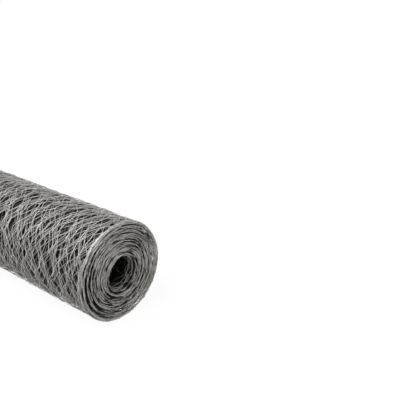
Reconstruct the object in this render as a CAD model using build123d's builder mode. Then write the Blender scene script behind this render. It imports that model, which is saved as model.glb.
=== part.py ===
"""A roll of hexagonal wire netting, wound up on itself with an open bore and no core.

The roll lies on its side along X, with the origin on the floor under its middle. The netting is one
sheet, so the roll is one turned solid. Its turns show on both ends, where the gap between them runs
as one spiral from the bore to the shoulder. The real netting lies in about a hundred turns, which
bunch together in the winding, and the spiral follows the gaps that open between those bunches.
"""

import os

from build123d import *

# Stock sizes, in millimetres
netting_width = 900.0
roll_diameter = 250.0
bore_diameter = 71.0

# The gap between bunched turns, on each end
gap_pitch = 7.4
gap_depth = 6.0
gap_mouth = 4.4

# The outermost and the innermost turns sit back a little from the end
shoulder_radius = 4.0
mouth_bevel = 3.0

roll_radius = roll_diameter / 2
bore_radius = bore_diameter / 2
end_plane = netting_width / 2
axis_height = roll_radius

# The spiral gap starts and stops where the flat of the end does
spiral_start = bore_radius + mouth_bevel + gap_mouth / 2
spiral_stop = roll_radius - shoulder_radius - gap_mouth / 2
half_turns = int(2 * (spiral_stop - spiral_start) / gap_pitch)

# The gap, as it runs in the end that faces +X
with BuildPart() as winding_gap:
    end_face = Plane(origin=(end_plane, 0, axis_height), x_dir=(0, 1, 0), z_dir=(1, 0, 0))
    with BuildLine(end_face) as spiral:
        # Half circles about two centres, each wider than the last by half the pitch
        for number in range(half_turns):
            side = 1 if number % 2 == 0 else -1
            centre = (-side * gap_pitch / 4, 0)
            first_angle = 0 if side > 0 else 180
            CenterArc(centre, spiral_start + number * gap_pitch / 2, first_angle, 180)
    across = Plane(origin=spiral.line @ 0, x_dir=(0, 1, 0), z_dir=spiral.line % 0)
    with BuildSketch(across) as gap_section:
        with BuildLine():
            Polyline((-gap_mouth / 2, 0), (gap_mouth / 2, 0), (0, gap_depth), close=True)
        make_face()
    sweep(sections=gap_section.sketch, path=spiral.line)

# The wound netting, turned from half of its section, with the gap in both ends
with BuildPart() as netting_roll:
    with BuildSketch(Plane.XZ) as section:
        with Locations((0, axis_height + bore_radius)):
            Rectangle(end_plane, roll_radius - bore_radius, align=(Align.MIN, Align.MIN))
        chamfer(section.vertices().group_by(Axis.X)[-1].sort_by(Axis.Y)[0], mouth_bevel)
        fillet(section.vertices().group_by(Axis.X)[-1].sort_by(Axis.Y)[-1], shoulder_radius)
        mirror(about=Plane.YZ)
    revolve(axis=Axis((0, 0, axis_height), (1, 0, 0)))
    add(winding_gap.part, mode=Mode.SUBTRACT)
    mirror(winding_gap.part, about=Plane.YZ, mode=Mode.SUBTRACT)
netting_roll.part.label = "netting_roll"

os.makedirs("parts", exist_ok=True)
export_step(netting_roll.part, "parts/netting_roll.step")
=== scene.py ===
"""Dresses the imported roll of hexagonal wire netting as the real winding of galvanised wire.

The sheet is modelled flat, one wire at a time, and then wound into the roll, so that its mesh, its
selvedges and the gaps between its turns all come from the one winding.
"""

import logging
import math
from dataclasses import dataclass
from enum import Enum

import bpy
import numpy as np
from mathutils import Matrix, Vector


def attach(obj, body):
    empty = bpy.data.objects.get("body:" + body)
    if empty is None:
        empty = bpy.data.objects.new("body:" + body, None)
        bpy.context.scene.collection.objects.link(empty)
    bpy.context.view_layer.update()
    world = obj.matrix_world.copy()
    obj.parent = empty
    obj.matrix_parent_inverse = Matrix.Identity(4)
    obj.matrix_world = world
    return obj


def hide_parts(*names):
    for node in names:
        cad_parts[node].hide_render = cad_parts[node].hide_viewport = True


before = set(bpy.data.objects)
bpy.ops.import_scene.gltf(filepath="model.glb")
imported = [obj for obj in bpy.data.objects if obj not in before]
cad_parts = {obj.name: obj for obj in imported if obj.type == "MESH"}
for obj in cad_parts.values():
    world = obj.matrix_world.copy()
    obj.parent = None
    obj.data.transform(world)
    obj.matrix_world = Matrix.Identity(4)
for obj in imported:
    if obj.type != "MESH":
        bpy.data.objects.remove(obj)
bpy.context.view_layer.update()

# The attribute that tells the finish how deep in the roll a wire lies, from which it paints shade
DEPTH = "depth_in_roll"
# The mix node's sockets for its two colours, and for the colour that comes out
MIX_FIRST = 6
MIX_SECOND = 7
MIX_RESULT = 2
# Lengths of wire are joined where their ends lie this near, in metres
MERGE_DISTANCE = 1e-5
# The most sides that a wire's open end may have and still be closed
MOST_END_SIDES = 8
log = logging.getLogger("chicken_wire_roll")


def linear(colour: str) -> tuple[float, float, float, float]:
    """Turns an sRGB hex colour to a linear one.

    Args:
        colour: six hex digits, such as "8f8f8c".

    Returns:
        Red, green, blue and an alpha of 1, as shader sockets take them.
    """
    channels = [int(colour[i:i + 2], 16) / 255 for i in (0, 2, 4)]
    toned = [c / 12.92 if c <= 0.04045 else ((c + 0.055) / 1.055) ** 2.4 for c in channels]
    return (*toned, 1.0)


def add_node(tree: bpy.types.NodeTree, kind: str, inputs: dict | None = None,
             **settings: object) -> bpy.types.Node:
    """Adds one node to a tree, with its settings, its values and its links.

    Args:
        tree: the node tree.
        kind: the node's type name.
        inputs: each socket's name or number, and a value or the output socket that feeds it.
        settings: the node's own properties.

    Returns:
        The new node.
    """
    node = tree.nodes.new(kind)
    for name, value in settings.items():
        setattr(node, name, value)
    for socket, value in (inputs or {}).items():
        if isinstance(value, bpy.types.NodeSocket):
            tree.links.new(value, node.inputs[socket])
        else:
            node.inputs[socket].default_value = value
    return node


def new_material(name: str) -> tuple[bpy.types.Material, bpy.types.NodeTree]:
    """Makes an empty node material.

    Args:
        name: the material's name.

    Returns:
        The material and its node tree.
    """
    material = bpy.data.materials.new(name)
    material.use_nodes = True
    material.node_tree.nodes.clear()
    return material, material.node_tree


def background_rays(tree: bpy.types.NodeTree) -> bpy.types.NodeSocket:
    """Picks out the rays that show the background: the camera's, and those off metal or through glass.

    Args:
        tree: the node tree of the floor or the world.

    Returns:
        A socket that is 1 for such a ray and 0 for any other.
    """
    rays = add_node(tree, "ShaderNodeLightPath")
    straight = add_node(tree, "ShaderNodeMath", {0: rays.outputs["Is Camera Ray"],
                                                 1: rays.outputs["Is Glossy Ray"]},
                        operation="MAXIMUM")
    shown = add_node(tree, "ShaderNodeMath", {0: straight.outputs[0],
                                              1: rays.outputs["Is Transmission Ray"]},
                     operation="MAXIMUM")
    return shown.outputs[0]


def lean(angle: np.ndarray, towards: float) -> np.ndarray:
    """Gives 1 in one direction round the axis, and falls smoothly to 0 in the opposite one."""
    return 0.5 + 0.5 * np.cos(angle - towards)


@dataclass(frozen=True)
class GalvanisedSteel:
    """Steel wire, drawn and then dipped in zinc.

    It gives a dull grey metal, which glints where the zinc is bright and is matt where it has gone
    dull, in patches. Its colour is darkened with its depth in the roll: painted shade, for the little
    light that gets in between many turns.
    """

    bright_zinc: str = "e0deda"
    dull_zinc: str = "bbbab7"
    # The dark colour of painted shade deep in the roll, not a colour that the zinc has
    painted_shade_zinc: str = "2e2e2d"
    cloud_mm: float = 18.0
    cloud_detail: float = 3.0
    # The real grain is a fraction of a millimetre, and is drawn this coarse so that it shows
    grain_mm: float = 2.2
    grain_detail: float = 1.0
    patch_low: float = 0.75
    patch_high: float = 1.25
    roughness_low: float = 0.34
    roughness_high: float = 0.55
    metallic: float = 0.6
    # The depths in the roll at which the painted shade begins and at which it is full
    unshaded_depth: float = 0.003
    fully_shaded_depth: float = 0.0135

    def material(self) -> bpy.types.Material:
        """Makes the finish: cloudy zinc that glints in places and is dull in others, with painted
        shade deep in the roll.

        Returns:
            The material.
        """
        material, tree = new_material("galvanised_steel_wire")
        place = add_node(tree, "ShaderNodeTexCoord").outputs["Object"]
        clouds = add_node(tree, "ShaderNodeTexNoise", {"Vector": place, "Scale": 1000 / self.cloud_mm,
                                                       "Detail": self.cloud_detail})
        grain = add_node(tree, "ShaderNodeTexNoise", {"Vector": place, "Scale": 1000 / self.grain_mm,
                                                      "Detail": self.grain_detail})
        mixed = add_node(tree, "ShaderNodeMath", {0: clouds.outputs[0], 1: grain.outputs[0]},
                         operation="ADD")
        spread = add_node(tree, "ShaderNodeMapRange", {"Value": mixed.outputs[0],
                                                       "From Min": self.patch_low,
                                                       "From Max": self.patch_high})
        colour = add_node(tree, "ShaderNodeMix", {"Factor": spread.outputs[0],
                                                  MIX_FIRST: linear(self.dull_zinc),
                                                  MIX_SECOND: linear(self.bright_zinc)},
                          data_type="RGBA")
        rough = add_node(tree, "ShaderNodeMapRange", {"Value": spread.outputs[0],
                                                      "To Min": self.roughness_high,
                                                      "To Max": self.roughness_low})
        # Painted shade: the zinc's colour is darkened by the wire's depth in the roll
        depth = add_node(tree, "ShaderNodeAttribute", attribute_name=DEPTH)
        painted_shade = add_node(tree, "ShaderNodeMapRange", {"Value": depth.outputs["Fac"],
                                                       "From Min": self.unshaded_depth,
                                                       "From Max": self.fully_shaded_depth},
                          interpolation_type="SMOOTHSTEP")
        shaded_colour = add_node(tree, "ShaderNodeMix", {"Factor": painted_shade.outputs[0],
                                                  MIX_FIRST: colour.outputs[MIX_RESULT],
                                                  MIX_SECOND: linear(self.painted_shade_zinc)},
                          data_type="RGBA")
        surface = add_node(tree, "ShaderNodeBsdfPrincipled", {"Base Color": shaded_colour.outputs[MIX_RESULT],
                                                              "Metallic": self.metallic,
                                                              "Roughness": rough.outputs[0]})
        add_node(tree, "ShaderNodeOutputMaterial", {"Surface": surface.outputs[0]})
        return material


@dataclass(frozen=True)
class Wander:
    """A smooth uneven drift over the sheet, as a few crossing waves."""

    amplitude: float
    wavelength: float
    seed: int
    waves: int = 7
    shortest: float = 0.6
    longest: float = 1.7

    def at(self, along: np.ndarray, across: np.ndarray) -> np.ndarray:
        """Gives the drift at points of the sheet.

        Args:
            along: each point's distance along the netting, in metres.
            across: each point's distance across it.

        Returns:
            The drift of each point, about plus or minus the amplitude.
        """
        rng = np.random.default_rng(self.seed)
        total = np.zeros_like(along)
        least = (0, self.shortest, 0)
        most = (math.pi, self.longest, 2 * math.pi)
        for heading, stretch, start in rng.uniform(least, most, (self.waves, 3)):
            turn = 2 * math.pi / (self.wavelength * stretch)
            total += np.sin(turn * (along * math.cos(heading) + across * math.sin(heading)) + start)
        return self.amplitude * total / math.sqrt(self.waves / 2)


@dataclass(frozen=True)
class Bunching:
    """How the turns draw together in bunches, with gaps that fork, fade and meet as they go round."""

    spacing: float = 0.0074
    first_gap: float = 0.0407
    others: int = 24
    other_share: float = 1.0
    finest: float = 0.0024
    coarsest: float = 0.014
    most_lobes: int = 8
    seed: int = 2183

    def at(self, radius: np.ndarray, angle: np.ndarray) -> tuple[np.ndarray, np.ndarray]:
        """Gives how wide the gap is at points of the end, and which way it pushes their turns.

        The first wave is the spiral gap of the turned solid, and the others break it up.

        Args:
            radius: each point's distance from the roll's axis.
            angle: its direction round the axis.

        Returns:
            The width, of either sign and about 1 at its strongest, and the push outward in metres.
        """
        rng = np.random.default_rng(self.seed)
        phase = 2 * math.pi * (radius - self.first_gap) / self.spacing - angle
        width = np.cos(phase)
        push = self.spacing * np.sin(phase)
        for _ in range(self.others):
            spacing = self.finest * (self.coarsest / self.finest) ** rng.uniform()
            lobes = rng.integers(-self.most_lobes, self.most_lobes + 1)
            phase = 2 * math.pi * (radius / spacing + rng.uniform()) - lobes * angle
            width += self.other_share * np.cos(phase)
            push += self.other_share * spacing * np.sin(phase)
        strength = math.sqrt((1 + self.others * self.other_share ** 2) / 2)
        return width / strength, push / (2 * math.pi * strength)


@dataclass(frozen=True)
class Winding:
    """How the flat sheet goes round into the roll.

    Lengths are in metres. Directions round the axis start from the far side and go up over the top.
    """

    # The spiral, and the box that it stays in
    inner_radius: float = 0.0368
    outer_radius: float = 0.1238
    turns: float = 99.5
    axis_height: float = 0.125
    half_width: float = 0.45
    wire_margin: float = 0.0006
    # The innermost turns, which start with one straight stretch and are drawn into the bore
    inner_edge_angle: float = math.radians(82)
    loose_angle: float = math.radians(68)
    mouth_width: float = 0.014
    mouth_setback: float = 0.003
    mouth_hollow: float = 0.016
    mouth_angle: float = math.radians(-45)
    # The bore's underside, which has sunk
    sag: float = 0.010
    sag_angle: float = math.radians(-70)
    # The gaps between bunches of turns on the end, and the outer turns that lie too tight for them
    gap_start: float = 0.3
    gap_full: float = 1.7
    gap_setback: float = 0.008
    gap_spread: float = 0.5
    tight_rim: float = 0.012
    least_rim: float = 0.001
    rim_angle: float = math.radians(-15)
    slack: float = 0.8
    slack_angle: float = math.radians(-65)
    # The end's form as a whole, and how unevenly the sheet's edges lie in it
    dome: float = 0.001
    shoulder: float = 0.004
    slip: float = 0.001
    slip_width: float = 0.018
    slip_angle: float = math.radians(140)
    rim_stray: float = 0.4
    ends_apart: float = 0.3
    edge_band: float = 0.10
    # The outer turns, which have sprung loose along the side
    outer_lift: float = 3.0
    outer_looseness: int = 12
    # How much deeper a wire counts for the painted shade behind the end, past the bore's wall and
    # along the bore
    end_shade: float = 2.5
    wall_shade: float = 2.0
    bore_shade: float = 0.35
    # How the sheet drifts as it is wound
    bunching: Bunching = Bunching()
    lateral: Wander = Wander(0.005, 0.22, 11)
    lengthwise: Wander = Wander(0.005, 0.26, 12)
    cells: Wander = Wander(0.0030, 0.05, 13)
    lift: Wander = Wander(0.00035, 0.09, 14)
    edge: Wander = Wander(0.0050, 0.25, 15)
    fray: Wander = Wander(0.0022, 0.05, 18)

    @property
    def turn_pitch(self) -> float:
        """How far each turn lies outside the last."""
        return (self.outer_radius - self.inner_radius) / self.turns

    @property
    def length(self) -> float:
        """The netting's flat length, from the bore out to its free edge."""
        return math.pi / self.turn_pitch * (self.outer_radius ** 2 - self.inner_radius ** 2)

    def radius_at(self, along: np.ndarray) -> np.ndarray:
        """Gives the spiral's radius at a distance along the netting from its inner end."""
        return np.sqrt(self.inner_radius ** 2 + self.turn_pitch * np.maximum(along, 0) / math.pi)

    def angle_at(self, radius: np.ndarray) -> np.ndarray:
        """Gives the direction round the axis at which the spiral has a radius."""
        return self.inner_edge_angle + 2 * math.pi * (radius - self.inner_radius) / self.turn_pitch

    def freedom(self, radius: np.ndarray, angle: np.ndarray) -> np.ndarray:
        """Works out how free the turns are to shift, from 0 outermost to 1 further in.

        Args:
            radius: the spiral's radius.
            angle: the direction round the axis.

        Returns:
            The freedom, which begins furthest in on the side where the outer turns lie tightest.
        """
        rim = self.least_rim + self.tight_rim * lean(angle, self.rim_angle)
        return np.clip((self.outer_radius - radius) / rim, 0, 1)

    def end_form(self, radius: np.ndarray, angle: np.ndarray) -> np.ndarray:
        """Works out how far back from the end plane the roll's end as a whole lies.

        The end stands out a little round its middle, its outermost turns have slipped back on one
        side, and the innermost ones are drawn into the bore on another.

        Args:
            radius: the spiral's radius.
            angle: the direction round the axis.

        Returns:
            The distance in metres.
        """
        slope = self.dome * (radius - self.inner_radius) / (self.outer_radius - self.inner_radius)
        outside = np.clip((radius - self.outer_radius) / self.slip_width + 1, 0, 1)
        slipped = self.slip * outside ** 2 * lean(angle, self.slip_angle)
        inside = np.clip(1 - (radius - self.inner_radius) / self.mouth_width, 0, 1)
        drawn_in = self.mouth_hollow * lean(angle, self.mouth_angle)
        return slope + slipped + (self.mouth_setback + drawn_in) * inside ** 2

    def setback(self, radius: np.ndarray, angle: np.ndarray, wander: np.ndarray,
                width: np.ndarray) -> np.ndarray:
        """Works out how far back from the end plane each turn's edge lies.

        Args:
            radius: the spiral's radius.
            angle: the direction round the axis.
            wander: how unevenly the sheet was guided as it was wound.
            width: how wide the gap between bunches is there.

        Returns:
            The distance in metres.
        """
        slack = 1 + self.slack * np.cos(angle - self.slack_angle)
        gap = np.clip((width * slack - self.gap_start) / (self.gap_full - self.gap_start), 0, 1)
        over = np.clip(radius - (self.outer_radius - self.shoulder), 0, self.shoulder)
        rounded = self.shoulder - np.sqrt(self.shoulder ** 2 - over ** 2)
        free = self.freedom(radius, angle)
        strayed = np.abs(wander) * (self.rim_stray + (1 - self.rim_stray) * free)
        return self.end_form(radius, angle) + self.gap_setback * gap * free + rounded + strayed

    def wind(self, flat: np.ndarray) -> np.ndarray:
        """Winds points of the flat sheet into the roll.

        Args:
            flat: points as (across, along, off the sheet), in metres, one row each.

        Returns:
            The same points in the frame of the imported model.
        """
        across, along, off = flat.T
        radius = self.radius_at(along)
        angle = self.angle_at(radius)
        turned = angle - self.inner_edge_angle
        at_edge = np.clip((np.abs(across) - self.half_width + self.edge_band) / self.edge_band, 0, 1)
        at_edge = at_edge ** 2 * (3 - 2 * at_edge)
        width, push = self.bunching.at(radius, angle)
        end = np.sign(across)
        wander = self.edge.at(along, end * self.ends_apart) + self.fray.at(along, end)
        back = self.setback(radius, angle, wander, width)
        drift = self.lateral.at(along, across) + self.cells.at(across, along)
        side = across + (1 - at_edge) * drift - end * at_edge * back
        side = np.clip(side, self.wire_margin - self.half_width, self.half_width - self.wire_margin)
        angle = angle + (self.lengthwise.at(along, across) + self.cells.at(along, across)) / radius
        loose = np.clip(turned / self.loose_angle, 0, 1) - 0.5
        straight = math.cos(self.loose_angle / 2) / np.cos(self.loose_angle * loose)
        depth = (self.outer_radius - radius) / (self.outer_radius - self.inner_radius)
        sag = self.sag * depth ** 2 * lean(angle, self.sag_angle) ** 2
        puffed = self.outer_lift * (1 - at_edge) * (radius / self.outer_radius) ** self.outer_looseness
        spread = self.gap_spread * push * self.freedom(radius, angle)
        radius = radius * straight + off + self.lift.at(along, across) * (1 + puffed) + spread + sag
        radius = np.minimum(radius, self.axis_height)
        height = self.axis_height + radius * np.sin(angle)
        return np.column_stack((-side, radius * np.cos(angle), height))

    def depth(self, flat: np.ndarray, wound: np.ndarray) -> np.ndarray:
        """Works out how deep in the roll each point lies, below its side, its end or its bore.

        Args:
            flat: the points on the flat sheet, as wind takes them.
            wound: the same points in the roll, as wind gives them.

        Returns:
            The depth in metres, with what lies behind the end and the bore weighted to look as deep,
            which the finish turns into painted shade.
        """
        radius = self.radius_at(flat[:, 1])
        end = self.half_width - np.abs(wound[:, 0]) - self.end_form(radius, self.angle_at(radius))
        bore = self.wall_shade * (radius - self.inner_radius) + self.bore_shade * end
        return np.minimum(np.minimum(self.outer_radius - radius, self.end_shade * end), bore)


class Detail(Enum):
    """How finely a stretch of the netting's wire is modelled: its sides, and its steps a twist."""

    TWISTED = (4, 8)
    COARSE = (3, 6)
    PLAIN = (3, 1)

    @property
    def sides(self) -> int:
        """How many sides the wire's section has."""
        return self.value[0]

    @property
    def steps(self) -> int:
        """How many straight runs make a twist."""
        return self.value[1]


@dataclass
class Netting:
    """The hexagonal mesh: wires that twist with one neighbour and then slant over to the other.

    Its outer turns show from end to end and are modelled in the most detail.
    """

    winding: Winding
    finish: bpy.types.Material
    mesh: float = 0.050
    wire: float = 0.0012
    twist: float = 0.023
    slant: float = 0.0299
    twist_turns: int = 2
    outer_turns: int = 3
    next_turns: int = 7

    @property
    def period(self) -> float:
        """The length along the sheet in which a wire's course repeats."""
        return 2 * (self.twist + self.slant)

    def course(self, detail: Detail) -> list[tuple[float, float, float]]:
        """Gives one period of a wire's course, between two columns of twists.

        The wire is pulled tight, so that it runs straight from one twist to the next.

        Args:
            detail: how finely the wire is modelled.

        Returns:
            Points as (across, along, off the sheet).
        """
        steps = detail.steps
        offset = self.wire / 2
        points = []
        for column, start in ((self.mesh / 2, 0.0), (0.0, self.twist + self.slant)):
            facing = math.pi if column else 0.0
            for step in range(steps + 1):
                turn = facing
                if steps > 1:
                    turn += 2 * math.pi * self.twist_turns * step / steps
                points.append((column + offset * math.cos(turn), start + self.twist * step / steps,
                               offset * math.sin(turn)))
        points.append((points[0][0], self.period, points[0][2]))
        return points

    def strip(self, name: str, first: int, periods: int, detail: Detail) -> bpy.types.Object:
        """Makes a stretch of the netting, flat and then wound.

        Args:
            name: the piece's name.
            first: the stretch's first period, counted from the bore.
            periods: how many periods it is long.
            detail: how finely its wire is modelled.

        Returns:
            The wound piece.
        """
        piece = extruded_wire(self.course(detail), detail.sides, self.wire, name)
        add_twin(piece, (self.mesh / 2, 0, 0))
        repeat(piece, (0, self.period, 0), periods, merge=True)
        columns = round(2 * self.winding.half_width / self.mesh)
        repeat(piece, (self.mesh, 0, 0), columns, merge=False)
        close_ends(piece)
        wind_mesh(piece, self.winding, (-self.winding.half_width, first * self.period, 0))
        return dressed(piece, self.finish)

    def build(self) -> list[bpy.types.Object]:
        """Makes the whole netting, in four stretches.

        Returns:
            The wound pieces.
        """
        whole = int(self.winding.length / self.period)
        turn = 2 * math.pi * self.winding.outer_radius / self.period
        outer = round(self.outer_turns * turn)
        following = round(self.next_turns * turn)
        rest = whole - outer - following
        half = rest // 2
        log.info("netting %.1f m long, %d periods, %.2f a turn", self.winding.length, whole, turn)
        return [self.strip("outer_turns", whole - outer, outer, Detail.TWISTED),
                self.strip("next_turns", rest, following, Detail.COARSE),
                self.strip("inner_turns", 0, half, Detail.PLAIN),
                self.strip("middle_turns", half, rest - half, Detail.PLAIN)]


@dataclass
class Selvedge:
    """The cable of two wires along an edge of the netting, whose turns make the roll's end."""

    winding: Winding
    finish: bpy.types.Material
    wire: float = 0.0012
    lay: float = 0.0155
    lay_steps: int = 4
    sides: int = 3

    def spiral(self, name: str, across: float) -> bpy.types.Object:
        """Makes the whole selvedge of one edge, flat and then wound.

        Args:
            name: the piece's name.
            across: where the cable lies across the flat sheet.

        Returns:
            The wound piece.
        """
        offset = self.wire / 2
        turn = [2 * math.pi * step / self.lay_steps for step in range(self.lay_steps + 1)]
        points = [(offset * math.cos(a), self.lay * a / (2 * math.pi), offset * math.sin(a))
                  for a in turn]
        piece = extruded_wire(points, self.sides, self.wire, name)
        add_twin(piece, (0, 0, 0))
        repeat(piece, (0, self.lay, 0), int(self.winding.length / self.lay), merge=True)
        close_ends(piece)
        wind_mesh(piece, self.winding, (across, 0, 0))
        return dressed(piece, self.finish)

    def build(self) -> list[bpy.types.Object]:
        """Makes the selvedges of both edges.

        Returns:
            The wound pieces.
        """
        inset = self.winding.half_width - self.wire
        return [self.spiral("near_selvedge", -inset), self.spiral("far_selvedge", inset)]


def extruded_wire(points: list[tuple[float, float, float]], sides: int, wire: float,
                  name: str) -> bpy.types.Object:
    """Extrudes a wire's round section from point to point of its course.

    Args:
        points: the course, which runs along Y.
        sides: the section's number of sides.
        wire: the wire's diameter.
        name: the object's name.

    Returns:
        The open tube.
    """
    # A section of few sides has the round one's girth, so that it looks as thick from any side
    radius = wire * math.pi / (2 * sides * math.sin(math.pi / sides))
    bpy.ops.object.select_all(action="DESELECT")
    bpy.ops.mesh.primitive_circle_add(vertices=sides, radius=radius, location=points[0],
                                      rotation=(math.pi / 2, 0, 0))
    piece = bpy.context.object
    piece.name = piece.data.name = name
    bpy.ops.object.transform_apply(location=True, rotation=True, scale=True)
    bpy.ops.object.mode_set(mode="EDIT")
    bpy.ops.mesh.select_all(action="SELECT")
    for here, there in zip(points, points[1:]):
        step = tuple(b - a for a, b in zip(here, there))
        bpy.ops.mesh.extrude_region_move(TRANSFORM_OT_translate={"value": step})
    bpy.ops.object.mode_set(mode="OBJECT")
    return piece


def add_twin(piece: bpy.types.Object, centre: tuple[float, float, float]) -> None:
    """Adds the wire that a wire twists with: the same one, turned half round.

    Args:
        piece: the first wire, which runs along Y.
        centre: a point on the line that it turns about.
    """
    bpy.context.view_layer.objects.active = piece
    bpy.ops.object.mode_set(mode="EDIT")
    bpy.ops.mesh.select_all(action="SELECT")
    bpy.ops.mesh.duplicate()
    bpy.ops.transform.rotate(value=math.pi, orient_axis="Y", center_override=centre)
    bpy.ops.object.mode_set(mode="OBJECT")


def repeat(piece: bpy.types.Object, offset: tuple[float, float, float], count: int,
           merge: bool) -> None:
    """Repeats a piece's mesh in a row.

    Args:
        piece: the piece.
        offset: from one copy to the next.
        count: how many there are in all.
        merge: whether each copy is joined on to the next where they meet.
    """
    row = piece.modifiers.new("row", "ARRAY")
    row.use_relative_offset = False
    row.use_constant_offset = True
    row.constant_offset_displace = offset
    row.count = count
    row.use_merge_vertices = merge
    row.merge_threshold = MERGE_DISTANCE
    bpy.context.view_layer.objects.active = piece
    bpy.ops.object.modifier_apply(modifier=row.name)


def close_ends(piece: bpy.types.Object) -> None:
    """Closes the cut ends of all of a piece's wires, and then turns their faces outward."""
    bpy.context.view_layer.objects.active = piece
    bpy.ops.object.mode_set(mode="EDIT")
    bpy.ops.mesh.select_all(action="SELECT")
    bpy.ops.mesh.fill_holes(sides=MOST_END_SIDES)
    bpy.ops.mesh.select_all(action="SELECT")
    bpy.ops.mesh.normals_make_consistent(inside=False)
    bpy.ops.object.mode_set(mode="OBJECT")


def wind_mesh(piece: bpy.types.Object, winding: Winding, start: tuple[float, float, float]) -> None:
    """Winds a flat piece's mesh into the roll.

    No operator winds a sheet into an uneven spiral, so its vertices are moved here.

    Args:
        piece: the piece, flat, with its length along Y.
        winding: how the sheet goes round.
        start: where on the sheet the piece's own origin lies.
    """
    vertices = piece.data.vertices
    flat = np.empty(len(vertices) * 3)
    vertices.foreach_get("co", flat)
    flat = flat.reshape(-1, 3) + np.array(start)
    wound = winding.wind(flat)
    vertices.foreach_set("co", wound.ravel())
    # The depth in the roll, from which the finish paints shade on deeper wires
    depth = piece.data.attributes.new(DEPTH, "FLOAT", "POINT")
    depth.data.foreach_set("value", winding.depth(flat, wound))
    piece.data.update()


def dressed(piece: bpy.types.Object, finish: bpy.types.Material) -> bpy.types.Object:
    """Gives a finished piece its smooth shading, its finish and its place in the frame.

    Args:
        piece: the piece.
        finish: its material.

    Returns:
        The piece.
    """
    bpy.ops.object.select_all(action="DESELECT")
    piece.select_set(True)
    bpy.context.view_layer.objects.active = piece
    bpy.ops.object.shade_smooth()
    piece.data.materials.clear()
    piece.data.materials.append(finish)
    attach(piece, "root")
    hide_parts("netting_roll")
    return piece


@dataclass
class Studio:
    """The pale floor, the soft lights and the camera at the photograph's place."""

    camera_place: tuple[float, float, float] = (1.34896, -0.80380, 0.79709)
    camera_down: float = math.radians(22.315)
    camera_turn: float = math.radians(39.559)
    lens: float = 52.04
    sensor_width: float = 36.0
    nearest_shown: float = 0.01
    floor_size: float = 80.0
    floor_grey: str = "626261"
    floor_glow: float = 0.93
    fill: float = 0.27
    sun_tilt: float = math.radians(42)
    sun_turn: float = math.radians(-38)
    sun_width: float = math.radians(60)
    sun_strength: float = 1.5
    lamp_place: tuple[float, float, float] = (0.48, -0.32, 0.90)
    lamp_aim: tuple[float, float, float] = (0.35, 0.0, 0.15)
    lamp_size: float = 0.6
    lamp_power: float = 2.7
    lamp_colour: tuple[float, float, float] = (1.0, 0.975, 0.95)

    def floor(self) -> None:
        """Lays the floor, which shows white where no shadow falls on it."""
        bpy.ops.object.select_all(action="DESELECT")
        bpy.ops.mesh.primitive_plane_add(size=self.floor_size, location=(0, 0, 0))
        floor = bpy.context.object
        floor.name = "studio_floor"
        material, tree = new_material("white_floor")
        glow = add_node(tree, "ShaderNodeMath", {0: background_rays(tree), 1: self.floor_glow},
                        operation="MULTIPLY")
        matt = add_node(tree, "ShaderNodeBsdfDiffuse", {"Color": linear(self.floor_grey)})
        light = add_node(tree, "ShaderNodeEmission", {"Strength": glow.outputs[0]})
        both = add_node(tree, "ShaderNodeAddShader", {0: matt.outputs[0], 1: light.outputs[0]})
        add_node(tree, "ShaderNodeOutputMaterial", {"Surface": both.outputs[0]})
        floor.data.materials.append(material)

    def light(self) -> None:
        """Lights the roll by a wide soft light, a lamp above its near end and a pale world."""
        bpy.ops.object.light_add(type="SUN", rotation=(self.sun_tilt, 0, self.sun_turn))
        sun = bpy.context.object
        sun.name = "wide_light"
        sun.data.angle = self.sun_width
        sun.data.energy = self.sun_strength
        towards = Vector(self.lamp_aim) - Vector(self.lamp_place)
        bpy.ops.object.light_add(type="AREA", location=self.lamp_place,
                                 rotation=towards.to_track_quat("-Z", "Y").to_euler())
        lamp = bpy.context.object
        lamp.name = "soft_lamp"
        lamp.data.shape = "DISK"
        lamp.data.size = self.lamp_size
        lamp.data.energy = self.lamp_power
        lamp.data.color = self.lamp_colour
        lamp.visible_camera = False
        world = bpy.data.worlds.new("pale_studio")
        world.use_nodes = True
        world.node_tree.nodes.clear()
        tree = world.node_tree
        level = add_node(tree, "ShaderNodeMapRange", {"Value": background_rays(tree),
                                                      "To Min": self.fill, "To Max": 1.0})
        sky = add_node(tree, "ShaderNodeBackground", {"Color": (1, 1, 1, 1),
                                                      "Strength": level.outputs[0]})
        add_node(tree, "ShaderNodeOutputWorld", {"Surface": sky.outputs[0]})
        bpy.context.scene.world = world

    def camera(self) -> None:
        """Sets the camera where the photograph was taken from."""
        bpy.ops.object.camera_add(location=self.camera_place,
                                  rotation=(math.pi / 2 - self.camera_down, 0, self.camera_turn))
        camera = bpy.context.object
        camera.name = "photo_camera"
        camera.data.sensor_width = self.sensor_width
        camera.data.sensor_fit = "HORIZONTAL"
        camera.data.lens = self.lens
        camera.data.clip_start = self.nearest_shown
        bpy.context.scene.camera = camera
        bpy.context.scene.view_settings.view_transform = "Standard"

    def build(self) -> None:
        """Sets up the whole studio."""
        self.camera()
        self.floor()
        self.light()


def main() -> None:
    """Builds the roll and the studio round it."""
    logging.basicConfig(level=logging.INFO, format="%(name)s: %(message)s")
    Studio().build()
    zinc = GalvanisedSteel().material()
    winding = Winding()
    for piece in Netting(winding, zinc).build() + Selvedge(winding, zinc).build():
        triangles = sum(len(face.vertices) - 2 for face in piece.data.polygons)
        log.info("%s: %d triangles", piece.name, triangles)


if __name__ == "__main__":
    main()
